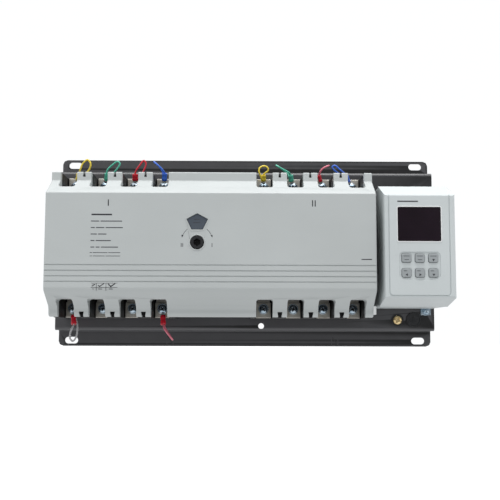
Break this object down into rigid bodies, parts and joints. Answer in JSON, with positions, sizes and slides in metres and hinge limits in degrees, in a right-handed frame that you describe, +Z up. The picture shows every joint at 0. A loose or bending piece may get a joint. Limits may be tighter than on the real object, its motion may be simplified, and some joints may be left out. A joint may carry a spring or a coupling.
{
  "type": "automatic transfer switch",
  "caption": "Wall-mounted automatic transfer switch: moulded-case breakers under one grey cover, geared drive with hand-crank socket, and a screen controller.",
  "frame": {"origin": "on the rear face of the lower mounting flange, midway between its two slots", "axes": "+X along the width towards the controller, +Y into the wall, +Z up; the front faces -Y"},
  "size_m": [0.395, 0.1188, 0.2],
  "materials": {
    "black_paint": "satin black powder coat",
    "black_moulding": "fine-textured black thermoset",
    "dark_plastic": "black nylon",
    "silver_contact": "silver-alloy tips on a bronze arm",
    "zinc_steel": "bright zinc plate",
    "motor_steel": "drawn steel can",
    "tinned_copper": "tinned copper bar",
    "brass": "turned brass",
    "gear_steel": "oiled steel",
    "indicator_white": "printed white plastic",
    "cover_plastic": "light grey ABS with a fine grain",
    "controller_plastic": "light grey ABS with a fine grain",
    "key_plastic": "soft-touch grey key",
    "smoked_window": "smoked polycarbonate",
    "screen_glass": "dark unlit screen window",
    "board_green": "solder-resist green",
    "wire_yellow": "PVC insulation",
    "wire_green": "PVC insulation",
    "wire_red": "PVC insulation",
    "wire_blue": "PVC insulation"
  },
  "bodies": {
    "chassis": {"base_plate": "black_paint", "breaker_case_normal": "black_moulding", "breaker_lid_normal": "black_moulding", "terminal_normal_line_1": "tinned_copper", "terminal_normal_line_2": "tinned_copper", "terminal_normal_line_3": "tinned_copper", "terminal_normal_line_4": "tinned_copper", "terminal_normal_load_1": "tinned_copper", "terminal_normal_load_2": "tinned_copper", "terminal_normal_load_3": "tinned_copper", "terminal_normal_load_4": "tinned_copper", "breaker_case_reserve": "black_moulding", "breaker_lid_reserve": "black_moulding", "terminal_reserve_line_1": "tinned_copper", "terminal_reserve_line_2": "tinned_copper", "terminal_reserve_line_3": "tinned_copper", "terminal_reserve_line_4": "tinned_copper", "terminal_reserve_load_1": "tinned_copper", "terminal_reserve_load_2": "tinned_copper", "terminal_reserve_load_3": "tinned_copper", "terminal_reserve_load_4": "tinned_copper", "mechanism_frame": "zinc_steel", "shaft_bush": "brass", "drive_motor": "motor_steel", "limit_switch_block": "dark_plastic", "main_cover": "cover_plastic", "indicator_window": "smoked_window", "controller_case": "controller_plastic", "controller_front": "controller_plastic", "controller_screen": "screen_glass", "controller_board": "board_green", "controller_bracket": "zinc_steel", "controller_bracket_screw": "zinc_steel", "earth_screw": "brass", "lead_normal_line_1": "wire_yellow", "lead_normal_line_2": "wire_green", "lead_normal_line_3": "wire_red", "lead_normal_line_4": "wire_blue", "lead_reserve_line_1": "wire_yellow", "lead_reserve_line_2": "wire_green", "lead_reserve_line_3": "wire_red", "lead_reserve_line_4": "wire_blue", "lead_normal_load_1": "wire_red", "lead_normal_load_4": "wire_red"},
    "drive_shaft": {"operating_shaft": "dark_plastic", "drive_gear": "gear_steel", "indicator_disc": "indicator_white"},
    "motor_rotor": {"motor_pinion": "brass"},
    "slide_normal": {"slide_normal": "zinc_steel"},
    "slide_reserve": {"slide_reserve": "zinc_steel"},
    "toggle_normal": {"toggle_normal": "dark_plastic"},
    "toggle_reserve": {"toggle_reserve": "dark_plastic"},
    "contacts_normal": {"contact_bar_normal": "silver_contact"},
    "contacts_reserve": {"contact_bar_reserve": "silver_contact"},
    "key_1": {"key_1": "key_plastic"},
    "key_2": {"key_2": "key_plastic"},
    "key_3": {"key_3": "key_plastic"},
    "key_4": {"key_4": "key_plastic"},
    "key_5": {"key_5": "key_plastic"},
    "key_6": {"key_6": "key_plastic"}
  },
  "joints": [
    {"name": "shaft_turn", "type": "hinge", "parent": "chassis", "child": "drive_shaft", "pos_m": [-0.046, -0.09, 0.093], "axis": [0, 1, 0], "range_deg": [-54, 54]},
    {"name": "motor_turn", "type": "hinge", "parent": "chassis", "child": "motor_rotor", "pos_m": [-0.046, -0.08, 0.07], "axis": [0, 1, 0], "range_deg": [-195, 195]},
    {"name": "slide_normal_travel", "type": "slide", "parent": "chassis", "child": "slide_normal", "axis": [0, 0, 1], "range_m": [-0.0086, 0.0086]},
    {"name": "slide_reserve_travel", "type": "slide", "parent": "chassis", "child": "slide_reserve", "axis": [0, 0, 1], "range_m": [-0.0086, 0.0086]},
    {"name": "toggle_normal_turn", "type": "hinge", "parent": "chassis", "child": "toggle_normal", "pos_m": [-0.1285, -0.066, 0.094], "axis": [1, 0, 0], "range_deg": [-18.5, 18.5]},
    {"name": "contacts_normal_turn", "type": "hinge", "parent": "chassis", "child": "contacts_normal", "pos_m": [-0.1285, -0.052, 0.094], "axis": [1, 0, 0], "range_deg": [-12.1, 12.1]},
    {"name": "toggle_reserve_turn", "type": "hinge", "parent": "chassis", "child": "toggle_reserve", "pos_m": [0.0635, -0.066, 0.094], "axis": [1, 0, 0], "range_deg": [-18.5, 18.5]},
    {"name": "contacts_reserve_turn", "type": "hinge", "parent": "chassis", "child": "contacts_reserve", "pos_m": [0.0635, -0.052, 0.094], "axis": [1, 0, 0], "range_deg": [-12.1, 12.1]},
    {"name": "key_1_press", "type": "slide", "parent": "chassis", "child": "key_1", "axis": [0, 1, 0], "range_m": [0, 0.0012], "stiffness_N_per_m": 250},
    {"name": "key_2_press", "type": "slide", "parent": "chassis", "child": "key_2", "axis": [0, 1, 0], "range_m": [0, 0.0012], "stiffness_N_per_m": 250},
    {"name": "key_3_press", "type": "slide", "parent": "chassis", "child": "key_3", "axis": [0, 1, 0], "range_m": [0, 0.0012], "stiffness_N_per_m": 250},
    {"name": "key_4_press", "type": "slide", "parent": "chassis", "child": "key_4", "axis": [0, 1, 0], "range_m": [0, 0.0012], "stiffness_N_per_m": 250},
    {"name": "key_5_press", "type": "slide", "parent": "chassis", "child": "key_5", "axis": [0, 1, 0], "range_m": [0, 0.0012], "stiffness_N_per_m": 250},
    {"name": "key_6_press", "type": "slide", "parent": "chassis", "child": "key_6", "axis": [0, 1, 0], "range_m": [0, 0.0012], "stiffness_N_per_m": 250}
  ],
  "couplings": [
    {"joint": "motor_turn", "follows": "shaft_turn", "ratio": -3.6},
    {"joint": "slide_normal_travel", "follows": "shaft_turn", "m_per_rad": 0.009},
    {"joint": "slide_reserve_travel", "follows": "shaft_turn", "m_per_rad": -0.009},
    {"joint": "toggle_normal_turn", "follows": "shaft_turn", "ratio": -0.34074},
    {"joint": "contacts_normal_turn", "follows": "shaft_turn", "ratio": -0.22222},
    {"joint": "toggle_reserve_turn", "follows": "shaft_turn", "ratio": 0.34074},
    {"joint": "contacts_reserve_turn", "follows": "shaft_turn", "ratio": 0.22222}
  ]
}
